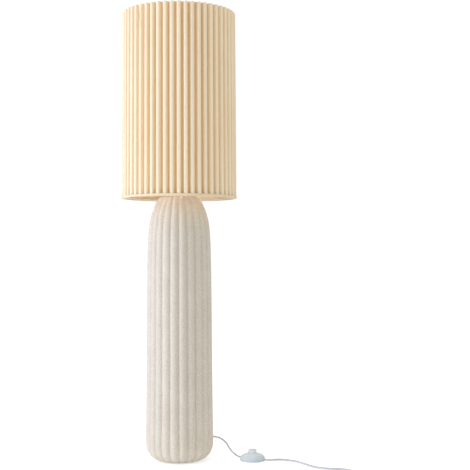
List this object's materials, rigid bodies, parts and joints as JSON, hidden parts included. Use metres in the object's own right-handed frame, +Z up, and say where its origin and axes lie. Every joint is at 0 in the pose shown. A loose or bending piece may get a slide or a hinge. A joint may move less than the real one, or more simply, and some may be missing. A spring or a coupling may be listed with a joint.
{
  "type": "floor lamp",
  "caption": "Floor lamp with a tall fluted stoneware body, a deep pleated drum shade, and a mains cord with an in-line foot switch and a plug",
  "frame": {"origin": "on the lamp's axis, on the floor that it stands on", "axes": "+Z up along the body's axis, -Y to the front, +X to the side where the cord leaves"},
  "size_m": [0.6298, 0.4701, 1.2402],
  "materials": {
    "stoneware": "matt speckled off-white glaze",
    "felt": "wool felt",
    "zinc_steel": "zinc plated",
    "cast_iron": "rough cast",
    "cork": "cork",
    "cream_metal": "satin paint",
    "white_plastic": "moulded",
    "insert_ceramic": "unglazed",
    "brass": "plain",
    "nickel": "nickel plated",
    "cord_sheath": "satin pvc sheath",
    "cord_plastic": "moulded pvc",
    "tie_strap": "strap",
    "pin_sleeve": "moulded",
    "switch_plastic": "fine satin moulding",
    "button_plastic": "fine satin moulding",
    "rubber": "soft",
    "spring_steel": "drawn wire",
    "pleated_fabric": "pleated linen weave",
    "liner_sheet": "styrene shade liner",
    "band_fabric": "hem tape",
    "bulb_plastic": "satin",
    "opal_plastic": "opal diffuser",
    "led_board": "white solder mask"
  },
  "bodies": {
    "lamp": {"ceramic_body": "stoneware", "base_felt": "felt", "base_plate": "zinc_steel", "counterweight": "cast_iron", "centre_tube": "zinc_steel", "bottom_nut": "zinc_steel", "top_gasket": "cork", "top_plate": "cream_metal", "top_nut": "zinc_steel", "cord_bushing": "cord_plastic", "bushing_nut": "white_plastic", "lead_clamp": "white_plastic", "inner_lead": "cord_sheath", "holder_cap": "white_plastic", "holder_grub_screw": "zinc_steel", "holder_shell": "white_plastic", "holder_insert": "insert_ceramic", "holder_thread_sleeve": "brass", "holder_centre_contact": "brass", "holder_terminal_screws": "brass", "switch_base": "switch_plastic", "switch_cover": "switch_plastic", "switch_feet": "rubber", "switch_contacts": "brass", "switch_terminals": "brass", "switch_terminal_screws": "zinc_steel", "switch_cord_clamps": "white_plastic", "switch_screws": "zinc_steel", "cord_base_run": "cord_sheath", "cord_switch_run": "cord_sheath", "cord_coil": "cord_sheath", "coil_tie": "tie_strap", "cord_tail": "cord_sheath", "plug_body": "cord_plastic", "plug_pins": "nickel", "plug_pin_sleeves": "pin_sleeve"},
    "switch_button": {"switch_button": "button_plastic", "switch_spring": "spring_steel"},
    "switch_rotor": {"switch_rotor": "white_plastic"},
    "shade": {"shade_pleats": "pleated_fabric", "shade_liner": "liner_sheet", "shade_band": "band_fabric", "shade_lower_ring": "cream_metal", "shade_upper_ring": "cream_metal", "shade_fitter": "cream_metal", "shade_arms": "cream_metal"},
    "shade_retainer": {"retaining_ring": "white_plastic"},
    "bulb": {"bulb_cap": "nickel", "bulb_contact": "brass", "bulb_housing": "bulb_plastic", "bulb_board": "led_board", "bulb_diffuser": "opal_plastic"}
  },
  "joints": [
    {"name": "switch_button_press", "type": "slide", "parent": "lamp", "child": "switch_button", "axis": [0, 0, -1], "range_m": [0, 0.003], "stiffness_N_per_m": 700, "springref_m": -0.003, "deforming": ["switch_spring"]},
    {"name": "switch_rotor_turn", "type": "hinge", "parent": "lamp", "child": "switch_rotor", "pos_m": [0.2023, -0.015, 0.006], "axis": [0, 0, 1], "range_deg": [0, 45]},
    {"name": "shade_turn", "type": "hinge", "parent": "lamp", "child": "shade", "pos_m": [0, 0, 0.781], "axis": [0, 0, 1], "continuous": true},
    {"name": "shade_ring_turn", "type": "hinge", "parent": "lamp", "child": "shade_retainer", "pos_m": [0, 0, 0.787], "axis": [0, 0, 1], "range_deg": [0, 720]},
    {"name": "bulb_unscrew", "type": "slide", "parent": "lamp", "child": "bulb", "axis": [0, 0, 1], "range_m": [0, 0.03]}
  ],
  "couplings": [
    {"joint": "switch_rotor_turn", "follows": "switch_button_press", "rad_per_m": 261.8}
  ]
}
